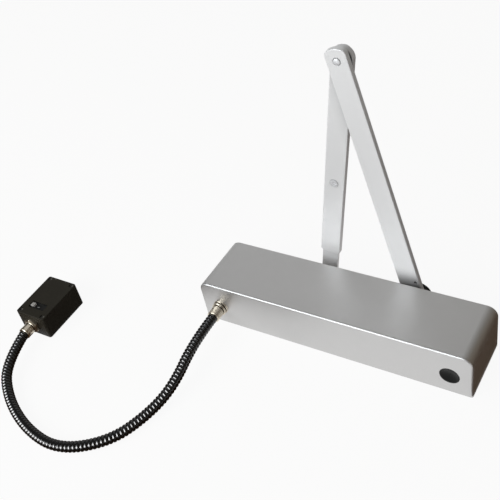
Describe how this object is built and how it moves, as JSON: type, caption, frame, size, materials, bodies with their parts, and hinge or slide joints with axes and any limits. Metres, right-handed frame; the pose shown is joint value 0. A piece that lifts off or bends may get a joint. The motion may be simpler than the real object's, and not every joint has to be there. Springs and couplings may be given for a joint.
{
  "type": "electromagnetic door closer",
  "caption": "Surface-mounted door closer in a silver cover with a folding arm, and a remote switch box on a ribbed black conduit.",
  "frame": {"origin": "centre of the mounting plate's back face, which lies on the door", "axes": "+X along the cover towards the spare cable entry, +Y along the spindle towards the arms, +Z away from the door"},
  "size_m": [0.496, 0.3229, 0.3029],
  "materials": {
    "cover_paint": "satin silver paint",
    "arm_paint": "satin silver paint",
    "zinc_steel": "zinc plated",
    "steel_screws": "plated screws",
    "rivet_steel": "bright rivet heads",
    "turned_steel": "ground steel",
    "spring_steel": "oiled spring wire",
    "cast_body": "as cast",
    "bronze": "sintered bronze",
    "brass_valves": "turned brass",
    "copper_wire": "enamelled copper wire",
    "nickel_brass": "warm nickel plating",
    "black_rubber": "oil seal",
    "black_plastic": "black nylon",
    "conduit_black": "ribbed, glossy black",
    "box_black": "fine-textured black",
    "black_screws": "blackened",
    "switch_black": "smooth black",
    "switch_pale": "pale knob",
    "bobbin_plastic": "glass-filled nylon",
    "board_green": "solder mask",
    "terminal_grey": "moulded terminal"
  },
  "bodies": {
    "closer": {"cover": "cover_paint", "mounting_plate": "zinc_steel", "cover_screws": "steel_screws", "hydraulic_body": "cast_body", "body_screws": "steel_screws", "spring_end_cap": "turned_steel", "oil_end_cap": "turned_steel", "main_spring": "spring_steel", "near_bush": "bronze", "far_bush": "bronze", "spindle_seal": "black_rubber", "seal_retainer": "zinc_steel", "valve_block": "cast_body", "valve_block_screws": "steel_screws", "magnet_frame": "zinc_steel", "coil_bobbin": "bobbin_plastic", "coil_winding": "copper_wire", "blanking_plug": "black_plastic", "cover_gland": "nickel_brass", "cover_gland_nut": "nickel_brass", "conduit": "conduit_black", "box_gland": "nickel_brass", "box_gland_nut": "nickel_brass", "box_base": "box_black", "box_lid": "box_black", "lid_screws": "black_screws", "switch_body": "switch_black", "circuit_board": "board_green", "terminal_block": "terminal_grey"},
    "arm": {"pinion_spindle": "turned_steel", "main_arm": "arm_paint", "arm_washer": "zinc_steel", "arm_screw": "steel_screws", "arm_cap": "black_plastic", "elbow_pin": "rivet_steel", "elbow_washer": "black_plastic"},
    "forearm": {"forearm_sleeve": "arm_paint", "clamp_screw": "rivet_steel", "clamp_nut": "zinc_steel"},
    "bar": {"forearm_bar": "arm_paint"},
    "foot": {"foot_bracket": "arm_paint", "foot_pin": "rivet_steel"},
    "piston": {"piston": "turned_steel"},
    "closing_valve": {"closing_valve": "brass_valves"},
    "latch_valve": {"latch_valve": "brass_valves"},
    "plunger": {"plunger": "turned_steel"},
    "knob": {"switch_knob": "switch_pale"}
  },
  "joints": [
    {"name": "arm_swing", "type": "hinge", "parent": "closer", "child": "arm", "pos_m": [0.062, 0.042, 0.025], "axis": [0, -1, 0], "range_deg": [0, 160], "stiffness_Nm_per_rad": 4, "springref_deg": -22.92},
    {"name": "elbow_fold", "type": "hinge", "parent": "arm", "child": "forearm", "pos_m": [0.00475, 0.0515, 0.29091], "axis": [0, 1, 0], "range_deg": [-5, 150]},
    {"name": "forearm_length", "type": "slide", "parent": "forearm", "child": "bar", "axis": [-0.1676, 0, -0.9859], "range_m": [-0.025, 0.06]},
    {"name": "foot_turn", "type": "hinge", "parent": "bar", "child": "foot", "pos_m": [-0.04233, 0.0548, 0.014], "axis": [0, 1, 0], "range_deg": [-75, 75]},
    {"name": "piston_travel", "type": "slide", "parent": "closer", "child": "piston", "axis": [-1, 0, 0], "range_m": [0, 0.0252], "deforming": ["main_spring"]},
    {"name": "closing_speed", "type": "hinge", "parent": "closer", "child": "closing_valve", "pos_m": [0.128, -0.017, 0.042], "axis": [1, 0, 0], "range_deg": [0, 360]},
    {"name": "latch_speed", "type": "hinge", "parent": "closer", "child": "latch_valve", "pos_m": [0.128, 0.017, 0.042], "axis": [1, 0, 0], "range_deg": [0, 360]},
    {"name": "magnet_pull", "type": "slide", "parent": "closer", "child": "plunger", "axis": [-1, 0, 0], "range_m": [0, 0.0025], "stiffness_N_per_m": 400, "springref_m": -0.004},
    {"name": "switch_slide", "type": "slide", "parent": "closer", "child": "knob", "axis": [1, 0, 0], "range_m": [0, 0.01]}
  ],
  "couplings": [
    {"joint": "piston_travel", "follows": "arm_swing", "m_per_rad": 0.009}
  ]
}
